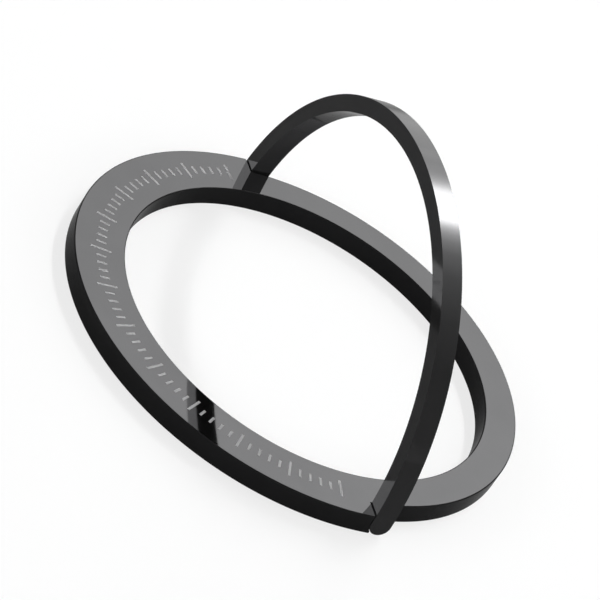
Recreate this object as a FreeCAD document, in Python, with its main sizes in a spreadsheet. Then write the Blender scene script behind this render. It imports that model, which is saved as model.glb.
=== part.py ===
import FreeCAD, Part
import math
import os

import Sketcher

# Magnetic phone ring with a fold-up stand, shown with the stand upright.
# Millimetres. +Z up, the ring's axis is Z, and z = 0 is the soft pad's face, which meets the phone.
# The full half of the ring is on the -X side; the stand folds down round the cut-back half, on +X.
# The hinge line runs along Y.

doc = FreeCAD.newDocument("phone_ring_stand")
sizes = doc.addObject("Spreadsheet::Sheet", "Sizes")

driving_sizes = [
    ("outer_radius", 29.0, "outside of the full half, and of the stand when folded"),
    ("band_width", 3.95, "radial width of the cut-back half"),
    ("ring_height", 2.5, "height of the metal ring, and width of the stand's band"),
    ("stand_depth", 2.0, "radial depth of the stand's band"),
    ("stand_gap", 0.25, "gap between the folded stand and the cut-back half"),
    ("shoulder_gap", 0.15, "gap between a leg and the shoulder beside it"),
    ("cradle_tip", 0.2, "thickness of the ring's lip under the round end of each leg, at its tip"),
    ("edge_break", 0.12, "chamfer along the edges of the ring and the stand"),
    ("channel_wall", 0.8, "side wall of the magnet channel in the cut-back half"),
    ("block_wall", 1.7, "metal between each hinge bore and the magnet channels"),
    ("magnets_per_side", 8, "arc magnets in each half of the ring"),
    ("magnet_height", 1.1, "thickness of a magnet"),
    ("magnet_play", 0.05, "room between the magnets and the channel's walls"),
    ("magnet_gap", 0.15, "gap between neighbouring magnets"),
    ("yoke_height", 0.3, "thickness of the steel yoke above the magnets"),
    ("glue_line", 0.05, "glue between the magnets and the pad"),
    ("pad_height", 0.5, "thickness of the soft pad"),
    ("pad_proud", 0.15, "how far the pad stands below the metal"),
    ("pad_margin", 0.5, "metal rim left round the pad"),
    ("pad_play", 0.05, "room between the pad and its recess"),
    ("pin_radius", 0.55, "hinge pin"),
    ("leg_skin", 0.6, "metal left outside the pin's blind hole in the leg"),
    ("pin_in_ring", 2.2, "length of the pin in the ring's bore"),
    ("pin_fit", 0.03, "radial running clearance of the pin in the ring"),
    ("pin_end_room", 0.1, "room beyond each end of the pin"),
    ("pin_end_break", 0.1, "chamfer at each end of the pin"),
    ("washer_land", 0.25, "rim left above and below the friction washer's seat"),
    ("washer_height", 0.3, "thickness of the friction washer"),
    ("washer_run", 0.08, "running gap between the washer and the leg"),
    ("washer_fit", 0.05, "radial room round the washer and on its pin"),
]
for row, (alias, value, note) in enumerate(driving_sizes, 1):
    sizes.set(f"A{row}", note)
    sizes.set(f"B{row}", str(value))
    sizes.setAlias(f"B{row}", alias)
doc.recompute()


def size(alias):
    return float(getattr(sizes, alias))


# Sizes and places that follow from the driving ones, as expressions for the sketches and features.
stand_inner = "(Sizes.outer_radius - Sizes.stand_depth)"
land_radius = f"({stand_inner} - Sizes.stand_gap)"
hole_radius = f"({land_radius} - Sizes.band_width)"
hinge_x = "(Sizes.shoulder_gap + Sizes.ring_height / 2)"
hinge_z = "(Sizes.pad_proud + Sizes.ring_height / 2)"
hinge_line = (hinge_x, hinge_z)
stand_centre_z = f"({hinge_z} - {hinge_x})"

bore_radius = "(Sizes.pin_radius + Sizes.pin_fit)"
pin_inner_end = f"(sqrt({land_radius}^2 - {hinge_x}^2) - Sizes.pin_in_ring)"
leg_hole_floor = f"(sqrt(Sizes.outer_radius^2 - {hinge_x}^2) - Sizes.leg_skin)"
pin_outer_end = f"({leg_hole_floor} - Sizes.pin_end_room)"
washer_seat_radius = "(Sizes.ring_height / 2 - Sizes.washer_land)"
washer_radius = f"({washer_seat_radius} - Sizes.washer_fit)"
washer_top = f"(sqrt({stand_inner}^2 - ({hinge_x} + {washer_radius})^2) - Sizes.washer_run)"
washer_floor = f"({washer_top} - Sizes.washer_height)"

channel_inner = f"({hole_radius} + Sizes.channel_wall)"
channel_outer = f"({land_radius} - Sizes.channel_wall)"
magnet_bottom = "(Sizes.pad_height + Sizes.glue_line)"
yoke_bottom = f"({magnet_bottom} + Sizes.magnet_height)"
channel_top = f"({yoke_bottom} + Sizes.yoke_height)"
block_angle = f"(asin(({hinge_x} + {bore_radius} + Sizes.block_wall) / {channel_inner}) / 1 deg)"
channel_sweep = f"(180 - 2 * {block_angle})"
magnet_pitch = f"({channel_sweep} / Sizes.magnets_per_side)"
mean_radius = f"(({channel_inner} + {channel_outer}) / 2)"
gap_sweep = f"(Sizes.magnet_gap / {mean_radius} * 180 / pi)"


def value_of(expression):
    return float(sizes.evalExpression(expression.replace("Sizes.", "")))


def new_body(label):
    return doc.addObject("PartDesign::Body", label)


def new_sketch(body, name, plane, offset="0"):
    # A sketch on one of the body's own origin planes, moved along that plane's normal.
    sketch = body.newObject("Sketcher::SketchObject", name)
    support = [f for f in body.Origin.OriginFeatures if f.Role == plane][0]
    sketch.AttachmentSupport = [(support, "")]
    sketch.MapMode = "FlatFace"
    sketch.setExpression("AttachmentOffset.Base.z", offset)
    return sketch


def bind(sketch, constraint, name, expression):
    index = sketch.addConstraint(constraint)
    sketch.renameConstraint(index, name)
    sketch.setExpression(f"Constraints.{name}", expression)


def point(x, y):
    return FreeCAD.Vector(x, y, 0)


def add_circle(sketch, name, radius, place=None):
    # A circle at the sketch's origin, or at the two distances from it that place gives.
    centre = point(*[value_of(distance) for distance in place]) if place else point(0, 0)
    circle = sketch.addGeometry(Part.Circle(centre, FreeCAD.Vector(0, 0, 1), value_of(radius)))
    bind(sketch, Sketcher.Constraint("Radius", circle, value_of(radius)), f"{name}_radius", radius)
    if place:
        across, up = place
        bind(sketch, Sketcher.Constraint("DistanceX", -1, 1, circle, 3, centre.x), f"{name}_across", across)
        bind(sketch, Sketcher.Constraint("DistanceY", -1, 1, circle, 3, centre.y), f"{name}_up", up)
    else:
        sketch.addConstraint(Sketcher.Constraint("Coincident", circle, 3, -1, 1))


def add_arc(sketch, name, radius, start, end):
    # An arc about the sketch's origin, with its ends left for its neighbours to set.
    shape = Part.Circle(point(0, 0), FreeCAD.Vector(0, 0, 1), value_of(radius))
    arc = sketch.addGeometry(Part.ArcOfCircle(shape, start, end))
    sketch.addConstraint(Sketcher.Constraint("Coincident", arc, 3, -1, 1))
    bind(sketch, Sketcher.Constraint("Radius", arc, value_of(radius)), f"{name}_radius", radius)
    return arc


def add_line(sketch, start, end):
    # A line from one end of a piece of the outline to an end of another.
    line = sketch.addGeometry(Part.LineSegment(sketch.getPoint(*start), sketch.getPoint(*end)))
    sketch.addConstraint(Sketcher.Constraint("Coincident", line, 1, *start))
    sketch.addConstraint(Sketcher.Constraint("Coincident", line, 2, *end))
    return line


def ring_outline(sketch, outer, land, hole, setback=None):
    # The ring's plan: a full half, two shoulders, a cut-back half and the hole.
    # The shoulders lie on the Y axis, or behind it by the setback.
    shift = value_of(setback) if setback else 0
    lean_outer = math.asin(shift / value_of(outer))
    lean_land = math.asin(shift / value_of(land))
    quarter = math.pi / 2
    full = add_arc(sketch, "outer", outer, quarter + lean_outer, 3 * quarter - lean_outer)
    cut = add_arc(sketch, "land", land, -quarter - lean_land, quarter + lean_land)
    for full_end, cut_end in ((1, 2), (2, 1)):
        add_line(sketch, (full, full_end), (cut, cut_end))
        for arc, end in ((full, full_end), (cut, cut_end)):
            if setback:
                name = f"setback_{arc}_{end}"
                bind(sketch, Sketcher.Constraint("DistanceX", arc, end, -1, 1, shift), name, setback)
            else:
                sketch.addConstraint(Sketcher.Constraint("PointOnObject", arc, end, -2))
    add_circle(sketch, "hole", hole)


def sector_outline(sketch, inner, outer, sweep):
    # A piece of a flat ring, symmetrical about the X axis, with radial ends.
    half = math.radians(value_of(sweep)) / 2
    inside = add_arc(sketch, "inner", inner, -half, half)
    outside = add_arc(sketch, "outer", outer, -half, half)
    ends = [add_line(sketch, (inside, end), (outside, end)) for end in (1, 2)]
    for end in ends:
        sketch.addConstraint(Sketcher.Constraint("PointOnObject", -1, 1, end))
    sketch.addConstraint(Sketcher.Constraint("Symmetric", outside, 1, outside, 2, -1))
    turn = Sketcher.Constraint("Angle", ends[0], 1, ends[1], 1, 2 * half)
    bind(sketch, turn, "sweep", f"{sweep} * 1 deg")


def add_feature(body, kind, name, sketch, length, reverse=False):
    feature = body.newObject(f"PartDesign::{kind}", name)
    feature.Profile = sketch
    feature.setExpression("Length", length)
    feature.Reversed = reverse
    doc.recompute()
    return feature


def add_mirror(body, name, originals, plane):
    mirror = body.newObject("PartDesign::Mirrored", name)
    mirror.Originals = originals
    mirror.MirrorPlane = ([f for f in body.Origin.OriginFeatures if f.Role == plane][0], [""])
    body.Tip = mirror
    doc.recompute()
    return mirror


def break_edges(body, name, base, breadth, wanted):
    # A chamfer along each edge of the feature that is wanted.
    edges = [f"Edge{i}" for i, edge in enumerate(base.Shape.Edges, 1) if wanted(edge)]
    chamfer = body.newObject("PartDesign::Chamfer", name)
    chamfer.Base = (base, edges)
    chamfer.setExpression("Size", breadth)
    doc.recompute()
    return chamfer


def cradle_outline(sketch):
    # The side view of a lip that runs from a shoulder under the leg's round end, one gap away from it.
    x, z, floor = value_of(hinge_x), value_of(hinge_z), size("pad_proud")
    drop = z - floor - size("cradle_tip")
    circle = Part.Circle(point(x, z), FreeCAD.Vector(0, 0, 1), x)
    seat = sketch.addGeometry(Part.ArcOfCircle(circle, math.pi, math.pi + math.asin(drop / x)))
    bind(sketch, Sketcher.Constraint("DistanceX", -1, 1, seat, 3, x), "hinge_x", hinge_x)
    bind(sketch, Sketcher.Constraint("DistanceY", -1, 1, seat, 3, z), "hinge_z", hinge_z)
    bind(sketch, Sketcher.Constraint("Radius", seat, x), "seat_radius", hinge_x)
    sketch.addConstraint(Sketcher.Constraint("Horizontal", seat, 1, seat, 3))
    tip = sketch.getPoint(seat, 2)
    bind(sketch, Sketcher.Constraint("DistanceY", seat, 2, seat, 3, drop), "drop",
         "Sizes.ring_height / 2 - Sizes.cradle_tip")
    back = sketch.addGeometry(Part.LineSegment(sketch.getPoint(seat, 1), point(0, floor)))
    front = sketch.addGeometry(Part.LineSegment(tip, point(tip.x, floor)))
    for upright, end in ((back, 1), (front, 2)):
        sketch.addConstraint(Sketcher.Constraint("Coincident", upright, 1, seat, end))
        sketch.addConstraint(Sketcher.Constraint("Vertical", upright))
    under = add_line(sketch, (back, 2), (front, 2))
    sketch.addConstraint(Sketcher.Constraint("Horizontal", under))
    bind(sketch, Sketcher.Constraint("DistanceY", -1, 1, back, 2, floor), "floor", "Sizes.pad_proud")


def is_rim(edge):
    # An edge of the ring's top or bottom face, other than the lip's tip.
    box = edge.BoundBox
    level = box.ZLength < 1e-6
    faces = (size("pad_proud"), size("pad_proud") + size("ring_height"))
    at_tip = box.XLength < 1e-6 and box.XMin > 1e-6
    return level and not at_tip and min(abs(box.ZMin - z) for z in faces) < 1e-6


# The metal ring, with its hinge cradles, pad recess, magnet channels and hinge bores.
def make_base_ring():
    body = new_body("base_ring")
    plan = new_sketch(body, "ring_plan", "XY_Plane", "Sizes.pad_proud")
    ring_outline(plan, "Sizes.outer_radius", land_radius, hole_radius)
    add_feature(body, "Pad", "ring", plan, "Sizes.ring_height")
    cradle_plan = new_sketch(body, "cradle_plan", "XZ_Plane", "Sizes.outer_radius")
    cradle_outline(cradle_plan)
    reach = f"Sizes.outer_radius - {land_radius} + Sizes.stand_gap"
    cradle = add_feature(body, "Pad", "cradle", cradle_plan, reach, True)
    cradles = add_mirror(body, "cradle_pair", [cradle], "XZ_Plane")
    break_edges(body, "ring_edges", cradles, "Sizes.edge_break", is_rim)

    recess_plan = new_sketch(body, "pad_recess_plan", "XY_Plane", "Sizes.pad_proud")
    room = "(Sizes.pad_margin - Sizes.pad_play)"
    ring_outline(recess_plan, f"Sizes.outer_radius - {room}", f"{land_radius} - {room}",
                 f"{hole_radius} + {room}", room)
    add_feature(body, "Pocket", "pad_recess", recess_plan, "Sizes.pad_height - Sizes.pad_proud", True)

    channel_plan = new_sketch(body, "channel_plan", "XY_Plane", "Sizes.pad_height")
    sector_outline(channel_plan, channel_inner, channel_outer, channel_sweep)
    channel = add_feature(body, "Pocket", "channel", channel_plan,
                          f"{channel_top} - Sizes.pad_height", True)
    add_mirror(body, "channel_pair", [channel], "YZ_Plane")

    seat_plan = new_sketch(body, "washer_seat_plan", "XZ_Plane", "Sizes.outer_radius")
    add_circle(seat_plan, "seat", washer_seat_radius, hinge_line)
    seat = add_feature(body, "Pocket", "washer_seat", seat_plan, f"Sizes.outer_radius - {washer_floor}")
    bore_plan = new_sketch(body, "pin_bore_plan", "XZ_Plane", "Sizes.outer_radius")
    add_circle(bore_plan, "bore", bore_radius, hinge_line)
    bore = add_feature(body, "Pocket", "pin_bore", bore_plan,
                       f"Sizes.outer_radius - {pin_inner_end} + Sizes.pin_end_room")
    add_mirror(body, "hinge_bores", [seat, bore], "XZ_Plane")
    return body


# The stand: a half-round band whose leg ends are rounded about the hinge line.
def make_stand_loop():
    body = new_body("stand_loop")
    side_plan = new_sketch(body, "side_plan", "XZ_Plane", "-Sizes.outer_radius")
    x = value_of(hinge_x)
    z = value_of(hinge_z)
    half = size("ring_height") / 2
    reach = size("outer_radius")
    circle = Part.Circle(point(x, z), FreeCAD.Vector(0, 0, 1), half)
    foot = side_plan.addGeometry(Part.ArcOfCircle(circle, math.pi, 2 * math.pi))
    bind(side_plan, Sketcher.Constraint("DistanceX", -1, 1, foot, 3, x), "hinge_x", hinge_x)
    bind(side_plan, Sketcher.Constraint("DistanceY", -1, 1, foot, 3, z), "hinge_z", hinge_z)
    bind(side_plan, Sketcher.Constraint("Radius", foot, half), "half_width", "Sizes.ring_height / 2")
    sides = []
    for side_x, foot_end in ((x - half, 1), (x + half, 2)):
        side = side_plan.addGeometry(Part.LineSegment(point(side_x, z), point(side_x, z + reach)))
        side_plan.addConstraint(Sketcher.Constraint("Tangent", side, 1, foot, foot_end))
        sides.append(side)
    lid = add_line(side_plan, (sides[0], 2), (sides[1], 2))
    side_plan.addConstraint(Sketcher.Constraint("Horizontal", lid))
    above = Sketcher.Constraint("DistanceY", foot, 3, sides[0], 2, reach)
    bind(side_plan, above, "reach", "Sizes.outer_radius")
    add_feature(body, "Pad", "slab", side_plan, "2 * Sizes.outer_radius")

    arch_plan = new_sketch(body, "arch_plan", "YZ_Plane")
    arch_plan.setExpression("AttachmentOffset.Base.y", stand_centre_z)
    add_circle(arch_plan, "waste", "2 * Sizes.outer_radius")
    add_circle(arch_plan, "outer", "Sizes.outer_radius")
    add_circle(arch_plan, "inner", stand_inner)
    arch = add_feature(body, "Pocket", "arch", arch_plan, f"{hinge_x} + Sizes.ring_height", True)

    curved = [size("outer_radius"), value_of(stand_inner)]

    def borders_band(edge):
        for face in arch.Shape.ancestorsOfType(edge, Part.Face):
            radius = getattr(face.Surface, "Radius", 0)
            if min(abs(radius - r) for r in curved) < 1e-6:
                return True
        return False

    break_edges(body, "band_edges", arch, "Sizes.edge_break", borders_band)

    hole_plan = new_sketch(body, "leg_hole_plan", "XZ_Plane", f"{stand_inner} - Sizes.stand_depth")
    add_circle(hole_plan, "hole", "Sizes.pin_radius", hinge_line)
    depth = f"{leg_hole_floor} - {stand_inner} + Sizes.stand_depth"
    hole = add_feature(body, "Pocket", "leg_hole", hole_plan, depth, True)
    add_mirror(body, "leg_holes", [hole], "XZ_Plane")
    return body


# A hinge pin, pressed into a leg and running in the ring. Side is -1 on -Y and 1 on +Y.
def make_hinge_pin(label, side):
    body = new_body(label)
    start = pin_inner_end if side < 0 else f"-{pin_outer_end}"
    plan = new_sketch(body, f"{label}_plan", "XZ_Plane", start)
    add_circle(plan, "pin", "Sizes.pin_radius", hinge_line)
    pin = add_feature(body, "Pad", f"{label}_rod", plan, f"{pin_outer_end} - {pin_inner_end}")
    break_edges(body, f"{label}_ends", pin, "Sizes.pin_end_break", lambda edge: len(edge.Vertexes) == 1)
    return body


# A friction washer, seated in the rim round the pin.
def make_friction_washer(label, side):
    body = new_body(label)
    start = washer_floor if side < 0 else f"-{washer_top}"
    plan = new_sketch(body, f"{label}_plan", "XZ_Plane", start)
    add_circle(plan, "rim", washer_radius, hinge_line)
    add_circle(plan, "eye", "Sizes.pin_radius + Sizes.washer_fit", hinge_line)
    add_feature(body, "Pad", f"{label}_disc", plan, "Sizes.washer_height")
    return body


# An arc piece in the magnet channel, turned about the ring's axis to its place.
def make_channel_arc(label, sweep, bottom, height, turn):
    body = new_body(label)
    plan = new_sketch(body, f"{label}_plan", "XY_Plane", bottom)
    inner = f"{channel_inner} + Sizes.magnet_play"
    outer = f"{channel_outer} - Sizes.magnet_play"
    sector_outline(plan, inner, outer, sweep)
    add_feature(body, "Pad", f"{label}_arc", plan, height)
    body.Placement.Rotation.Axis = FreeCAD.Vector(0, 0, 1)
    body.setExpression("Placement.Rotation.Angle", f"({turn}) * 1 deg")
    return body


# The soft pad that meets the phone.
def make_phone_pad():
    body = new_body("phone_pad")
    plan = new_sketch(body, "pad_plan", "XY_Plane")
    ring_outline(plan, "Sizes.outer_radius - Sizes.pad_margin", f"{land_radius} - Sizes.pad_margin",
                 f"{hole_radius} + Sizes.pad_margin", "Sizes.pad_margin")
    add_feature(body, "Pad", "pad", plan, "Sizes.pad_height")
    return body


nodes = [make_base_ring(), make_stand_loop(), make_phone_pad()]
for side_name, side in (("right", -1), ("left", 1)):
    nodes.append(make_hinge_pin(f"hinge_pin_{side_name}", side))
    nodes.append(make_friction_washer(f"friction_washer_{side_name}", side))
magnet_count = int(size("magnets_per_side"))
magnet_sweep = f"({magnet_pitch} - {gap_sweep})"
yoke_sweep = f"({channel_sweep} - {gap_sweep})"
for half_name, facing in (("cut", 0), ("full", 180)):
    label = f"yoke_{half_name}_half"
    nodes.append(make_channel_arc(label, yoke_sweep, yoke_bottom, "Sizes.yoke_height", facing))
    for i in range(magnet_count):
        step = i - (magnet_count - 1) / 2
        turn = f"{facing} + {step} * {magnet_pitch}"
        label = f"magnet_{half_name}_{i + 1}"
        nodes.append(make_channel_arc(label, magnet_sweep, magnet_bottom, "Sizes.magnet_height", turn))
doc.recompute()

for thing in doc.Objects:
    if "Invalid" in thing.State or "Error" in thing.State:
        raise RuntimeError(f"{thing.Label} failed: {thing.State}")
for node in nodes:
    if node.Shape.isNull() or not node.Shape.isValid() or len(node.Shape.Solids) != 1:
        raise RuntimeError(f"{node.Label} is not one valid solid")

os.makedirs("parts", exist_ok=True)
for node in nodes:
    node.Shape.exportStep(os.path.join("parts", f"{node.Label}.step"))
    print(f"{node.Label}: {node.Shape.Volume:.2f} cubic mm")
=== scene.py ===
import math

import bmesh
import bpy
from mathutils import Matrix, Vector


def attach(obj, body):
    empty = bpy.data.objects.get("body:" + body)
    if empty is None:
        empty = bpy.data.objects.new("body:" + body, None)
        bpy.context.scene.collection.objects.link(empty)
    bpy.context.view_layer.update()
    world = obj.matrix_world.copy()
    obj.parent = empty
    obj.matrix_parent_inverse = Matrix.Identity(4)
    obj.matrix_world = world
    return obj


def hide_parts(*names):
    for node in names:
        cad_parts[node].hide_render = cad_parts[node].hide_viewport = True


# A slim round phone ring in black polished metal, with its stand upright.
# Sizes are written in millimetres, and every mesh is built in metres in the frame of the CAD.
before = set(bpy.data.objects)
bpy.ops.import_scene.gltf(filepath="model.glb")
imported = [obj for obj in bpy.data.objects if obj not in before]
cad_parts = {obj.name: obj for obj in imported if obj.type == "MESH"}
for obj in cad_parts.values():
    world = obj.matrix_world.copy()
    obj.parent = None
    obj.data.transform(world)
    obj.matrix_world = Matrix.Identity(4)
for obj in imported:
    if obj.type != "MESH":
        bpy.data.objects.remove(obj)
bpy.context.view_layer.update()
mm = 0.001
scene = bpy.context.scene
scene.view_settings.view_transform = "Standard"
print("frame loaded with", len(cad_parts), "nodes")

# Camera

cameraView = {
    "aim": (-4.794, -2.183, 8.238),   # a point on the view's centre line
    "distance": 460.493,
    "azimuth": -35.913,   # degrees, 0 looks along +Y
    "elevation": 32.046,
    "roll": -33.842,   # the picture is turned on its side by this much
    "lens": 251.235,
    "sensor": 36.0,
    "clip": (10, 20000),
}


def makeCamera(view):
    azimuth, elevation, roll = (math.radians(view[key]) for key in ("azimuth", "elevation", "roll"))
    level = math.cos(elevation)
    back = Vector((math.sin(azimuth) * level, -math.cos(azimuth) * level, math.sin(elevation)))
    sideways = (-back).cross(Vector((0, 0, 1))).normalized()
    upright = back.cross(sideways)
    up = upright * math.cos(roll) + sideways * math.sin(roll)
    right = up.cross(back)
    camera = bpy.data.objects.new("photoCamera", bpy.data.cameras.new("photoCamera"))
    scene.collection.objects.link(camera)
    turn = Matrix((right, up, back)).transposed().to_4x4()
    place = (Vector(view["aim"]) + back * view["distance"]) * mm
    camera.matrix_world = Matrix.Translation(place) @ turn
    camera.data.lens = view["lens"]
    camera.data.sensor_width = view["sensor"]
    camera.data.clip_start, camera.data.clip_end = (reach * mm for reach in view["clip"])
    scene.camera = camera


makeCamera(cameraView)
print("camera set")

# Materials

noiseLook = {
    "low": 0.3,   # most of a noise field lies between low and high
    "high": 0.7,
    "cloudDetail": 3.0,
    "grainDetail": 4.0,
}


def startMaterial(name):
    material = bpy.data.materials.new(name)
    material.use_nodes = True
    tree = material.node_tree
    return material, tree, tree.nodes["Principled BSDF"]


def noiseField(tree, coords, scale, detail, stretch=(1, 1, 1)):
    mapping = tree.nodes.new("ShaderNodeMapping")
    mapping.inputs["Scale"].default_value = stretch
    noise = tree.nodes.new("ShaderNodeTexNoise")
    noise.inputs["Scale"].default_value = scale
    noise.inputs["Detail"].default_value = detail
    tree.links.new(coords, mapping.inputs["Vector"])
    tree.links.new(mapping.outputs["Vector"], noise.inputs["Vector"])
    return noise.outputs["Fac"]


def valueRange(tree, field, low, high):
    spread = tree.nodes.new("ShaderNodeMapRange")
    spread.inputs["From Min"].default_value = noiseLook["low"]
    spread.inputs["From Max"].default_value = noiseLook["high"]
    spread.inputs["To Min"].default_value = low
    spread.inputs["To Max"].default_value = high
    tree.links.new(field, spread.inputs["Value"])
    return spread.outputs["Result"]


def toneRange(tree, field, dark, light):
    ramp = tree.nodes.new("ShaderNodeValToRGB")
    ramp.color_ramp.elements[0].position = noiseLook["low"]
    ramp.color_ramp.elements[0].color = (*dark, 1)
    ramp.color_ramp.elements[1].position = noiseLook["high"]
    ramp.color_ramp.elements[1].color = (*light, 1)
    tree.links.new(field, ramp.inputs["Fac"])
    return ramp.outputs["Color"]


def bumpFrom(tree, shader, field, strength, depth):
    bump = tree.nodes.new("ShaderNodeBump")
    bump.inputs["Strength"].default_value = strength
    bump.inputs["Distance"].default_value = depth * mm
    tree.links.new(field, bump.inputs["Height"])
    tree.links.new(bump.outputs["Normal"], shader.inputs["Normal"])


def makeFinish(name, finish):
    # Cloudy tone over the piece, and a finer grain for its gloss and its bump.
    material, tree, shader = startMaterial(name)
    coords = tree.nodes.new("ShaderNodeTexCoord").outputs["Object"]
    clouds = noiseField(tree, coords, finish["cloudScale"], noiseLook["cloudDetail"])
    grain = noiseField(tree, coords, finish["grainScale"], noiseLook["grainDetail"], finish["grainStretch"])
    tree.links.new(toneRange(tree, clouds, finish["dark"], finish["light"]), shader.inputs["Base Color"])
    tree.links.new(valueRange(tree, grain, *finish["roughness"]), shader.inputs["Roughness"])
    shader.inputs["Metallic"].default_value = finish["metallic"]
    shader.inputs["Specular IOR Level"].default_value = finish["specular"]
    shader.inputs["Specular Tint"].default_value = (*[finish["grazing"]] * 3, 1)
    if finish["bump"]:
        bumpFrom(tree, shader, grain, finish["bump"], finish["bumpDepth"])
    return material


plainFinish = {
    "metallic": 1.0,
    "cloudScale": 150,
    "grainScale": 4000,
    "grainStretch": (1, 1, 1),
    "bump": 0.0,
    "bumpDepth": 0.01,
    "specular": 0.5,
    "grazing": 1.0,   # tint of the gloss at a low angle
}

# Each finish says where it differs from the plain one.
finishes = {
    "blackMetal": {
        "dark": (0.0127, 0.0127, 0.013), "light": (0.0143, 0.0143, 0.0146),
        "roughness": (0.025, 0.045), "metallic": 0.75, "specular": 0.0, "grazing": 0.71,
    },
    # Upright faces of the ring: a satin finish in a darker, less reflective copy of blackMetal, painted
    # shade on the walls.
    "paintedShadeWallMetal": {
        "dark": (0.0115, 0.0115, 0.0118), "light": (0.013, 0.013, 0.0133),
        "roughness": (0.1, 0.16), "metallic": 0.3, "specular": 0.0, "grazing": 0.71,
    },
    "standMetal": {
        "dark": (0.0226, 0.0226, 0.023), "light": (0.025, 0.025, 0.0254),
        "roughness": (0.05, 0.08), "metallic": 0.45, "specular": 0.0, "grazing": 0.8,
    },
    # Rounds of the ring and the stand: a dull, dark copy of the metal, painted shade that draws a thin dark
    # line along every rounded edge.
    "paintedShadeEdgeMetal": {
        "dark": (0.015, 0.015, 0.0153), "light": (0.017, 0.017, 0.0173),
        "roughness": (0.14, 0.2), "metallic": 0.15, "specular": 0.0, "grazing": 0.7,
    },
    "softPad": {
        "dark": (0.02, 0.02, 0.021), "light": (0.03, 0.03, 0.031),
        "roughness": (0.55, 0.75), "metallic": 0.0, "cloudScale": 120, "grainScale": 6000,
        "bump": 0.3, "bumpDepth": 0.02,
    },
    "markInk": {
        "dark": (0.235, 0.235, 0.239), "light": (0.265, 0.265, 0.27),
        "roughness": (0.5, 0.7), "metallic": 0.0, "cloudScale": 300, "grainScale": 5000,
    },
    "pinSteel": {
        "dark": (0.5, 0.5, 0.51), "light": (0.62, 0.62, 0.63),
        "roughness": (0.18, 0.32), "cloudScale": 300, "grainScale": 3000,
        "grainStretch": (1, 0.05, 1), "bump": 0.1,
    },
    "washerPlastic": {
        "dark": (0.62, 0.61, 0.58), "light": (0.7, 0.69, 0.66),
        "roughness": (0.4, 0.55), "metallic": 0.0, "cloudScale": 300, "grainScale": 5000,
        "bump": 0.1,
    },
    "yokeSteel": {
        "dark": (0.42, 0.42, 0.43), "light": (0.55, 0.55, 0.56),
        "roughness": (0.3, 0.45), "cloudScale": 200, "grainScale": 2500,
        "grainStretch": (1, 1, 0.1), "bump": 0.15,
    },
    "magnetNickel": {
        "dark": (0.6, 0.58, 0.54), "light": (0.7, 0.68, 0.64),
        "roughness": (0.15, 0.25), "cloudScale": 200, "grainScale": 3500, "bump": 0.1,
    },
}
materials = {name: makeFinish(name, {**plainFinish, **finish}) for name, finish in finishes.items()}
print("materials made:", len(materials))

# Meshes

cornerAngle = 40   # degrees, past which an edge between two faces is a corner
touching = 0.02   # millimetres, within which two places are the same
fullHalf = (90, 270)   # degrees round the ring, from one hinge to the other


def addPoint(bm, x, y, z):
    return bm.verts.new((x * mm, y * mm, z * mm))


def addPiece(name, mesh, body, nodes):
    piece = bpy.data.objects.new(name, mesh)
    scene.collection.objects.link(piece)
    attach(piece, body)
    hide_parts(*nodes)
    return piece


def meshFrom(bm, name, isRounded):
    # Marks the edges that get a round, and keeps the other corners sharp.
    bmesh.ops.recalc_face_normals(bm, faces=bm.faces)
    weight = bm.edges.layers.float.new("bevel_weight_edge")
    for edge in bm.edges:
        corner = edge.is_manifold and edge.calc_face_angle() > math.radians(cornerAngle)
        rounded = corner and isRounded(edge)
        edge[weight] = 1.0 if rounded else 0.0
        edge.smooth = not corner
    for face in bm.faces:
        face.smooth = True
    mesh = bpy.data.meshes.new(name)
    bm.to_mesh(mesh)
    bm.free()
    return mesh


def roundEdges(piece, width, segments, edgeMaterial=None):
    bevel = piece.modifiers.new("edgeRound", "BEVEL")
    bevel.limit_method = "WEIGHT"
    bevel.width = width * mm
    bevel.segments = segments
    bevel.harden_normals = True
    if edgeMaterial:
        piece.data.materials.append(edgeMaterial)
        bevel.material = len(piece.data.materials) - 1


def polarShell(radii, angles, top, underside):
    # A closed shell over a grid of ring cells. underside gives the height of each cell's lower
    # face, or None where the cell is empty. Walls join cells whose heights differ.
    bm = bmesh.new()
    points = {}

    def corner(ring, step, height):
        step %= len(angles)
        key = (ring, step, height)
        if key not in points:
            radius, angle = radii[ring], math.radians(angles[step])
            points[key] = addPoint(bm, radius * math.cos(angle), radius * math.sin(angle), height)
        return points[key]

    def cellFloor(ring, step):
        if not 0 <= ring < len(radii) - 1:
            return None
        step %= len(angles)
        after = angles[step + 1] if step + 1 < len(angles) else 360
        return underside((radii[ring] + radii[ring + 1]) / 2, (angles[step] + after) / 2)

    def addWall(first, second, here, there):
        # Between two cells, from the lower floor up to the higher one, or to the top.
        if here == there:
            return
        heights = [top if floor is None else floor for floor in (here, there)]
        low, high = min(heights), max(heights)
        places = [(*first, low), (*second, low), (*second, high), (*first, high)]
        bm.faces.new([corner(*place) for place in places])

    for step in range(len(angles)):
        for ring in range(len(radii)):
            floor = cellFloor(ring, step)
            if floor is not None:
                edges = [(ring, step), (ring + 1, step), (ring + 1, step + 1), (ring, step + 1)]
                bm.faces.new([corner(*place, top) for place in edges])
                bm.faces.new([corner(*place, floor) for place in reversed(edges)])
            addWall((ring, step), (ring, step + 1), cellFloor(ring - 1, step), floor)
            if ring < len(radii) - 1:
                addWall((ring, step), (ring + 1, step), cellFloor(ring, step - 1), floor)
    return bm


# Base ring

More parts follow.
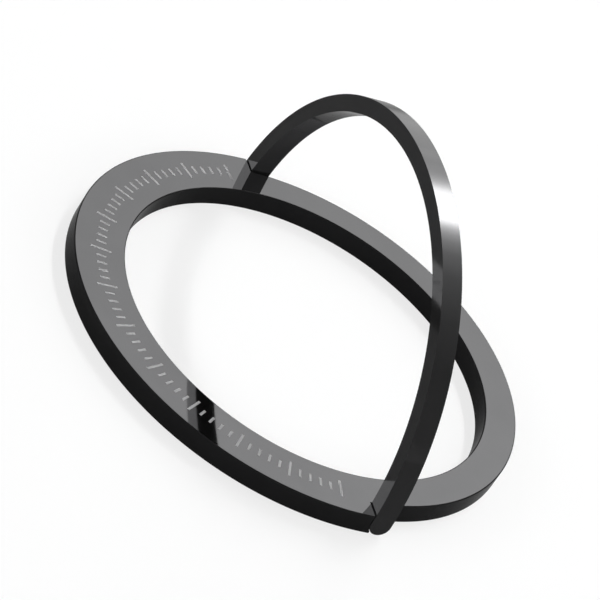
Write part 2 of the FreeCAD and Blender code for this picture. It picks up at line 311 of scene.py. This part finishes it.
ringSizes = {
    "outer": 29.0,
    "land": 26.75,   # outside of the cut-back half
    "hole": 22.8,
    "top": 2.65,
    "bottom": 0.15,
    "padRim": 0.45,   # metal left round the pad's recess
    "recessTop": 0.5,
    "channelWall": 0.8,
    "channelTop": 1.95,
    "channelEnd": 9.0,   # degrees of solid metal on each side of a hinge
    "rimEnd": 0.9,   # degrees of rim beside each shoulder
    "hinge": 1.4,   # hinge line, from the shoulders and from the floor
    "cradleSeat": 1.3,   # round of the lip under each leg, about the hinge line
    "cradleReach": 0.474,   # length of that lip from the shoulder
    "cradleRoot": 0.1,   # how far it is let into the cut-back half
    "cradleSteps": 12,
    "wallLean": 0.5,   # upright share of a normal, under which a face takes the darker wall metal, painted shade
    "plainEnd": 0.3,   # stretch of the cut-back rim by a shoulder that keeps a sharp edge
    "round": 0.12,
    "roundSteps": 3,
}


def addCradle(bm, sizes, side):
    # The lip that runs from a shoulder under the round end of a leg, just clear of it.
    seat, hinge, floor = sizes["cradleSeat"], sizes["hinge"], sizes["bottom"]
    dip = math.acos((hinge - sizes["cradleReach"]) / seat)
    outline = [(0, floor), (0, hinge)]
    for step in range(sizes["cradleSteps"] + 1):
        turn = dip * step / sizes["cradleSteps"]
        outline.append((hinge - seat * math.cos(turn), hinge - seat * math.sin(turn)))
    outline.append((sizes["cradleReach"], floor))
    ends = []
    for reach in (sizes["land"] - sizes["cradleRoot"], sizes["outer"]):
        ends.append([addPoint(bm, x, side * reach, z) for x, z in outline])
    for here, there in zip(range(len(outline)), [*range(1, len(outline)), 0]):
        bm.faces.new([ends[0][here], ends[0][there], ends[1][there], ends[1][here]])
    for end in ends:
        bm.faces.new(end)


def makeBaseRing(sizes):
    hole, land, outer, rim = (sizes[key] for key in ("hole", "land", "outer", "padRim"))
    channel = (hole + sizes["channelWall"], land - sizes["channelWall"])
    radii = [hole, hole + rim, channel[0], channel[1], land - rim, land, outer - rim, outer]
    start, end = fullHalf
    angles = sorted([*range(360), start + sizes["rimEnd"], end - sizes["rimEnd"]])

    def underside(radius, angle):
        fromHinge = min(abs(angle - start), abs(angle - end))
        inFullHalf = start < angle < end
        edge = outer if inFullHalf else land
        if radius > edge:
            return None
        inShoulderRim = inFullHalf and radius > land - rim and fromHinge < sizes["rimEnd"]
        if radius < hole + rim or radius > edge - rim or inShoulderRim:
            return sizes["bottom"]
        if channel[0] < radius < channel[1] and fromHinge > sizes["channelEnd"]:
            return sizes["channelTop"]
        return sizes["recessTop"]

    def isRounded(edge):
        first, second = (vert.co / mm for vert in edge.verts)
        middle = (first + second) / 2
        isLevel = abs(first.z - second.z) < touching
        onFace = middle.z > sizes["top"] - touching or middle.z < sizes["bottom"] + touching
        rims = (hole, land, outer)
        onHole, onLand, onOuter = (abs(middle.xy.length - radius) < touching for radius in rims)
        byShoulder = abs(middle.x) < (sizes["plainEnd"] if onLand else touching)
        return isLevel and onFace and (onHole or onLand or onOuter) and not byShoulder

    bm = polarShell(radii, angles, sizes["top"], underside)
    for side in (-1, 1):
        addCradle(bm, sizes, side)
    for face in bm.faces:
        face.normal_update()
        # Upright faces take the wall metal, darker than the top: painted shade.
        face.material_index = int(abs(face.normal.z) < sizes["wallLean"])
    mesh = meshFrom(bm, "baseRing", isRounded)
    for finish in ("blackMetal", "paintedShadeWallMetal"):
        mesh.materials.append(materials[finish])
    piece = addPiece("baseRing", mesh, "ring", ["base_ring"])
    # The rounds take the dark edge metal, painted shade along the ring's edges.
    roundEdges(piece, sizes["round"], sizes["roundSteps"], materials["paintedShadeEdgeMetal"])


makeBaseRing(ringSizes)
print("base ring made")

# Stand

standSizes = {
    "outer": 29.0,
    "inner": 27.0,
    "hingeX": 1.4,
    "hingeZ": 1.4,
    "halfWidth": 1.25,   # half of the band's width, and the round of each leg's end
    "footSteps": 14,
    "archRise": 0.3,   # from the hinge up to where the arch begins
    "archStep": 1.0,   # degrees
    "round": 0.12,
    "roundSteps": 3,
}


def standStations(sizes):
    # Each station has the inner and the outer point of the band as (y, z, half width), foot to foot.
    inner, outer, half = (sizes[key] for key in ("inner", "outer", "halfWidth"))
    foot = []
    for index in range(sizes["footSteps"] + 1):
        turn = math.radians(90 * (1 - index / sizes["footSteps"]))
        z = sizes["hingeZ"] - half * math.sin(turn)
        width = half * math.cos(turn)
        foot.append([(-math.sqrt(radius ** 2 - z ** 2), z, width) for radius in (inner, outer)])
    limit = math.degrees(math.asin((sizes["hingeZ"] + sizes["archRise"]) / outer))
    count = round((180 - 2 * limit) / sizes["archStep"])
    arch = []
    for index in range(count + 1):
        turn = math.radians(limit + (180 - 2 * limit) * index / count)
        across, up = -math.cos(turn), math.sin(turn)
        arch.append([(radius * across, radius * up, half) for radius in (inner, outer)])
    otherFoot = [[(-y, z, width) for y, z, width in pair] for pair in reversed(foot)]
    return foot + arch + otherFoot


def makeStandLoop(sizes):
    bm = bmesh.new()
    rows = []
    for pair in standStations(sizes):
        front, back = [], []
        for y, z, width in pair:
            closed = width < touching
            front.append(addPoint(bm, sizes["hingeX"] - width, y, z))
            back.append(front[-1] if closed else addPoint(bm, sizes["hingeX"] + width, y, z))
        rows.append(front + back[::-1])   # front inner, front outer, back outer, back inner
    for here, there in zip(rows, rows[1:]):
        for side in range(len(here)):
            after = (side + 1) % len(here)
            loop = [here[side], here[after], there[after], there[side]]
            loop = [vert for index, vert in enumerate(loop) if vert not in loop[:index]]
            if len(loop) > 2:
                bm.faces.new(loop)
    mesh = meshFrom(bm, "standLoop", lambda edge: True)
    mesh.materials.append(materials["standMetal"])
    piece = addPiece("standLoop", mesh, "stand", ["stand_loop"])
    # The rounds take the dark edge metal, painted shade along the stand's edges.
    roundEdges(piece, sizes["round"], sizes["roundSteps"], materials["paintedShadeEdgeMetal"])


makeStandLoop(standSizes)
print("stand made")

# Soft pad under the ring

padSizes = {
    "outer": 28.5,
    "land": 26.25,
    "hole": 23.3,
    "top": 0.5,
    "bottom": 0.0,
    "shoulder": 1.0,   # degrees that the pad stays away from each shoulder
    "round": 0.1,
    "roundSteps": 3,
}


def makePhonePad(sizes):
    start, end = fullHalf[0] + sizes["shoulder"], fullHalf[1] - sizes["shoulder"]
    radii = [sizes[key] for key in ("hole", "land", "outer")]

    def underside(radius, angle):
        return sizes["bottom"] if radius < sizes["land"] or start < angle < end else None

    bm = polarShell(radii, list(range(360)), sizes["top"], underside)
    mesh = meshFrom(bm, "phonePad", lambda edge: True)
    mesh.materials.append(materials["softPad"])
    piece = addPiece("phonePad", mesh, "ring", ["phone_pad"])
    roundEdges(piece, sizes["round"], sizes["roundSteps"])


makePhonePad(padSizes)
print("pad made")

# Scale marks on top of the full half

markSizes = {
    "Count": 61,
    "Start": 97.5,   # degrees
    "Step": 2.75,
    "Major Every": 5,
    "Radius": 25.75,
    "Height": 2.65,
    "Minor Length": 1.2,
    "Major Length": 2.5,
    "Stroke": 0.3,
    "Thickness": 0.016,
}
markCounts = ("Count", "Major Every")
markAngles = ("Start", "Step")


def makeMarkTree(sizes, material):
    tree = bpy.data.node_groups.new("scaleMarkTree", "GeometryNodeTree")
    for name in sizes:
        kind = "NodeSocketInt" if name in markCounts else "NodeSocketFloat"
        tree.interface.new_socket(name, in_out="INPUT", socket_type=kind)
    tree.interface.new_socket("Geometry", in_out="OUTPUT", socket_type="NodeSocketGeometry")
    given = tree.nodes.new("NodeGroupInput").outputs

    def addNode(kind, links, **settings):
        node = tree.nodes.new(kind)
        for key, value in settings.items():
            setattr(node, key, value)
        for socket, source in links.items():
            tree.links.new(source, node.inputs[socket])
        return node

    def mathNode(operation, first, second=None):
        links = {0: first} if second is None else {0: first, 1: second}
        return addNode("ShaderNodeMath", links, operation=operation).outputs[0]

    index = tree.nodes.new("GeometryNodeInputIndex").outputs[0]
    angle = mathNode("ADD", given["Start"], mathNode("MULTIPLY", index, given["Step"]))
    across = mathNode("MULTIPLY", mathNode("COSINE", angle), given["Radius"])
    along = mathNode("MULTIPLY", mathNode("SINE", angle), given["Radius"])
    place = addNode("ShaderNodeCombineXYZ", {"X": across, "Y": along, "Z": given["Height"]})
    marks = addNode("GeometryNodePoints", {"Count": given["Count"], "Position": place.outputs[0]})
    turn = addNode("ShaderNodeCombineXYZ", {"Z": angle})
    isMinor = mathNode("MINIMUM", mathNode("MODULO", index, given["Major Every"]))
    isMinor.node.inputs[1].default_value = 1.0
    extra = mathNode("SUBTRACT", given["Minor Length"], given["Major Length"])
    length = mathNode("ADD", given["Major Length"], mathNode("MULTIPLY", isMinor, extra))
    size = addNode("ShaderNodeCombineXYZ", {"X": length, "Y": given["Stroke"], "Z": given["Thickness"]})
    bar = tree.nodes.new("GeometryNodeMeshCube")
    placed = addNode("GeometryNodeInstanceOnPoints", {
        "Points": marks.outputs[0], "Instance": bar.outputs[0],
        "Rotation": turn.outputs[0], "Scale": size.outputs[0]})
    real = addNode("GeometryNodeRealizeInstances", {"Geometry": placed.outputs[0]})
    inked = addNode("GeometryNodeSetMaterial", {"Geometry": real.outputs[0]})
    inked.inputs["Material"].default_value = material
    out = tree.nodes.new("NodeGroupOutput")
    tree.links.new(inked.outputs[0], out.inputs["Geometry"])
    return tree


def makeMarks(sizes):
    holder = bpy.data.objects.new("scaleMarks", bpy.data.meshes.new("scaleMarksHolder"))
    scene.collection.objects.link(holder)
    modifier = holder.modifiers.new("marks", "NODES")
    modifier.node_group = makeMarkTree(sizes, materials["markInk"])
    for socket in modifier.node_group.interface.items_tree:
        if socket.in_out == "INPUT":
            value = sizes[socket.name]
            if socket.name in markAngles:
                value = math.radians(value)
            elif socket.name not in markCounts:
                value = value * mm
            modifier[socket.identifier] = value
    depsgraph = bpy.context.evaluated_depsgraph_get()
    mesh = bpy.data.meshes.new_from_object(holder.evaluated_get(depsgraph))
    holder.modifiers.clear()
    holder.data = mesh
    mesh.name = "scaleMarks"
    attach(holder, "ring")


makeMarks(markSizes)
print("scale marks made")

# Inner parts keep their CAD shape and get their own finish

innerFinish = {
    "hinge_pin": "pinSteel",
    "friction_washer": "washerPlastic",
    "yoke": "yokeSteel",
    "magnet": "magnetNickel",
}
for name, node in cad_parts.items():
    for start, finish in innerFinish.items():
        if name.startswith(start):
            node.data.materials.clear()
            node.data.materials.append(materials[finish])
print("inner parts finished")

# Floor, light and world

stageLook = {
    "floorSize": 8.0,   # metres, as all lengths of the stage but the low strip's
    "floorLevel": -0.00001,   # just under the pad
    "floorTone": (0.97, 0.97, 0.97),
    "floorWhite": 0.75,   # share of plain white that keeps the shadow light
    "worldTone": (0.04, 0.04, 0.04),
    "coveRadius": 2.5,
    "coveSteps": 64,
    "coveFoot": 0.5,
    "coveHeight": 1.4,
    "coveGlow": 2.35,
    "lampDistance": 1.5,
}

# Angle round the arch, from behind the object over it to the front: lean from the plane of the
# stand and half width in degrees, and radiance.
archStops = {
    0: (30.6, 2.5, 4), 4: (30.6, 2.5, 4.3), 15: (30.8, 2.5, 6.2), 25: (30.7, 2.5, 8.7),
    31: (30.5, 2.5, 11.4), 33: (30.0, 5.4, 11.3), 36: (30.1, 5.4, 11.6), 41: (30.2, 5.4, 14.3),
    42: (30.2, 5.4, 14.8), 43: (31.2, 2.0, 16), 45: (31.2, 2.0, 19), 47: (31.2, 1.8, 24.5),
    49: (31.2, 1.6, 32), 51: (31.3, 1.4, 47), 53: (31.3, 1.3, 67), 55: (31.3, 1.3, 84),
    68: (31.4, 1.3, 96), 70: (31.4, 1.4, 86), 72: (31.4, 1.6, 55), 74: (31.5, 1.8, 36),
    76: (31.5, 2.0, 25.5), 80: (31.6, 2.1, 15.6), 86: (31.7, 2.2, 8.6), 97: (31.8, 2.2, 4.5),
    107: (31.8, 2.2, 3), 117: (31.9, 2.2, 1.75), 128: (31.9, 2.2, 1.2), 138: (31.9, 2.2, 0.8),
    170: (31.9, 2.2, 0.95), 183: (31.9, 2.2, 1.8),
}

# A low strip of light behind the object, in millimetres, that carries the arch on below the
# horizon in the crown of the stand.
lowStrip = {
    "left": 58,
    "right": 77,
    "away": 120,
    "glow": {1: 1.0, 8: 1.6, 17: 2.75, 25: 3.4, 31: 3.9},   # height and radiance
}

# Cards that show only where the ring and the stand mirror each other, so they light nothing else:
# bearing from +X and elevation from the floor in degrees, and radiance.
mirrorCards = {
    "sideCard": {"bearing": 126.5, "elevation": 32.5, "halfWidth": 10, "halfHeight": 8, "glow": 280},
    "frontCard": {"bearing": -57.0, "elevation": 16.0, "halfWidth": 12, "halfHeight": 18, "glow": 60},
    "upperCard": {"bearing": -36.0, "elevation": 49.0, "halfWidth": 31, "halfHeight": 15, "glow": 75},
}
twoMirrors = 1.5   # glossy depth past which two surfaces have mirrored a ray


def seenRays(tree):
    # 1 for rays from the camera and for those that show the stage in gloss or glass.
    path = tree.nodes.new("ShaderNodeLightPath")
    seen = path.outputs["Is Camera Ray"]
    for ray in ("Is Glossy Ray", "Is Transmission Ray"):
        either = tree.nodes.new("ShaderNodeMath")
        either.operation = "MAXIMUM"
        tree.links.new(seen, either.inputs[0])
        tree.links.new(path.outputs[ray], either.inputs[1])
        seen = either.outputs[0]
    return seen


def makeFloor(look):
    half, level = look["floorSize"] / 2, look["floorLevel"]
    corners = [(-half, -half, level), (half, -half, level), (half, half, level), (-half, half, level)]
    mesh = bpy.data.meshes.new("floor")
    mesh.from_pydata(corners, [], [(0, 1, 2, 3)])
    material, tree, shader = startMaterial("floorPaper")
    shader.inputs["Base Color"].default_value = (*look["floorTone"], 1)
    shader.inputs["Roughness"].default_value = 1.0
    shader.inputs["Specular IOR Level"].default_value = 0.0
    white = tree.nodes.new("ShaderNodeEmission")
    seen = seenRays(tree)
    share = tree.nodes.new("ShaderNodeMath")
    share.operation = "MULTIPLY"
    share.inputs[1].default_value = look["floorWhite"]
    tree.links.new(seen, share.inputs[0])
    mix = tree.nodes.new("ShaderNodeMixShader")
    tree.links.new(share.outputs[0], mix.inputs["Fac"])
    tree.links.new(shader.outputs[0], mix.inputs[1])
    tree.links.new(white.outputs[0], mix.inputs[2])
    tree.links.new(mix.outputs[0], tree.nodes["Material Output"].inputs["Surface"])
    mesh.materials.append(material)
    floor = bpy.data.objects.new("floor", mesh)
    scene.collection.objects.link(floor)


def afterTwoMirrors(tree, glow):
    # Clear to every ray that two surfaces haven't mirrored.
    path = tree.nodes.new("ShaderNodeLightPath")
    twice = tree.nodes.new("ShaderNodeMath")
    twice.operation = "GREATER_THAN"
    twice.inputs[1].default_value = twoMirrors
    tree.links.new(path.outputs["Glossy Depth"], twice.inputs[0])
    clear = tree.nodes.new("ShaderNodeBsdfTransparent")
    mix = tree.nodes.new("ShaderNodeMixShader")
    tree.links.new(twice.outputs[0], mix.inputs["Fac"])
    tree.links.new(clear.outputs[0], mix.inputs[1])
    tree.links.new(glow, mix.inputs[2])
    return mix.outputs[0]


def addGlow(name, points, faces, radiance, onlyInGloss=False, onlyTwice=False):
    # A sheet of light that the camera doesn't see. Its radiance is an attribute of its points.
    mesh = bpy.data.meshes.new(name)
    mesh.from_pydata(points, [], faces)
    mesh.attributes.new("radiance", "FLOAT", "POINT").data.foreach_set("value", radiance)
    material, tree, shader = startMaterial(name)
    tree.nodes.remove(shader)
    glow = tree.nodes.new("ShaderNodeEmission")
    level = tree.nodes.new("ShaderNodeAttribute")
    level.attribute_name = "radiance"
    tree.links.new(level.outputs["Fac"], glow.inputs["Strength"])
    light = afterTwoMirrors(tree, glow.outputs[0]) if onlyTwice else glow.outputs[0]
    tree.links.new(light, tree.nodes["Material Output"].inputs["Surface"])
    mesh.materials.append(material)
    sheet = bpy.data.objects.new(name, mesh)
    scene.collection.objects.link(sheet)
    sheet.visible_camera = sheet.visible_shadow = False
    sheet.visible_diffuse = not onlyInGloss


def stopAt(stops, angle):
    keys = sorted(stops)
    low = max([key for key in keys if key <= angle] or keys[:1])
    high = min([key for key in keys if key > angle] or keys[-1:])
    share = (angle - low) / (high - low) if high > low else 0
    return [here + (there - here) * share for here, there in zip(stops[low], stops[high])]


def stripFaces(points):
    # Faces between pairs of points that follow each other.
    return [(index, index + 1, index + 3, index + 2) for index in range(0, len(points) - 2, 2)]


def makeLightArch(look, stops):
    points, radiance = [], []
    for angle in range(min(stops), max(stops) + 1):
        lean, width, glow = stopAt(stops, angle)
        turn = math.radians(angle)
        for tilt in (math.radians(lean - width), math.radians(lean + width)):
            level = math.cos(tilt)
            away = Vector((math.sin(tilt), level * math.cos(turn), level * math.sin(turn)))
            points.append(away * look["lampDistance"])
            radiance.append(glow)
    addGlow("lightArch", points, stripFaces(points), radiance)


def makeLowStrip(strip):
    points, radiance = [], []
    for height, glow in strip["glow"].items():
        for side in ("left", "right"):
            points.append(Vector((strip[side], strip["away"], height)) * mm)
            radiance.append(glow)
    addGlow("lowStrip", points, stripFaces(points), radiance, onlyInGloss=True)


def makeMirrorCard(name, look, card):
    points = []
    for rise in (-card["halfHeight"], card["halfHeight"]):
        elevation = math.radians(card["elevation"] + rise)
        level = math.cos(elevation)
        for sideways in (-card["halfWidth"], card["halfWidth"]):
            bearing = math.radians(card["bearing"] + sideways / level)
            away = Vector((math.cos(bearing) * level, math.sin(bearing) * level, math.sin(elevation)))
            points.append(away * look["lampDistance"])
    radiance = [card["glow"]] * len(points)
    addGlow(name, points, stripFaces(points), radiance, onlyInGloss=True, onlyTwice=True)


def makeCove(look):
    # A ring of light all round the stage.
    points = []
    radius = look["coveRadius"]
    for step in range(look["coveSteps"]):
        turn = math.tau * step / look["coveSteps"]
        for height in (look["coveFoot"], look["coveHeight"]):
            points.append((radius * math.cos(turn), radius * math.sin(turn), height))
    count = len(points)
    faces = [(index, (index + 2) % count, (index + 3) % count, index + 1) for index in range(0, count, 2)]
    addGlow("lightCove", points, faces, [look["coveGlow"]] * count)


def makeWorld(look):
    world = bpy.data.worlds.new("studio")
    world.use_nodes = True
    tree = world.node_tree
    light = tree.nodes["Background"]
    light.inputs["Color"].default_value = (*look["worldTone"], 1)
    white = tree.nodes.new("ShaderNodeBackground")
    white.inputs["Color"].default_value = (1, 1, 1, 1)
    mix = tree.nodes.new("ShaderNodeMixShader")
    tree.links.new(seenRays(tree), mix.inputs["Fac"])
    tree.links.new(light.outputs[0], mix.inputs[1])
    tree.links.new(white.outputs[0], mix.inputs[2])
    tree.links.new(mix.outputs[0], tree.nodes["World Output"].inputs["Surface"])
    scene.world = world


makeFloor(stageLook)
makeLightArch(stageLook, archStops)
makeLowStrip(lowStrip)
for name, card in mirrorCards.items():
    makeMirrorCard(name, stageLook, card)
makeCove(stageLook)
makeWorld(stageLook)
print("stage set")
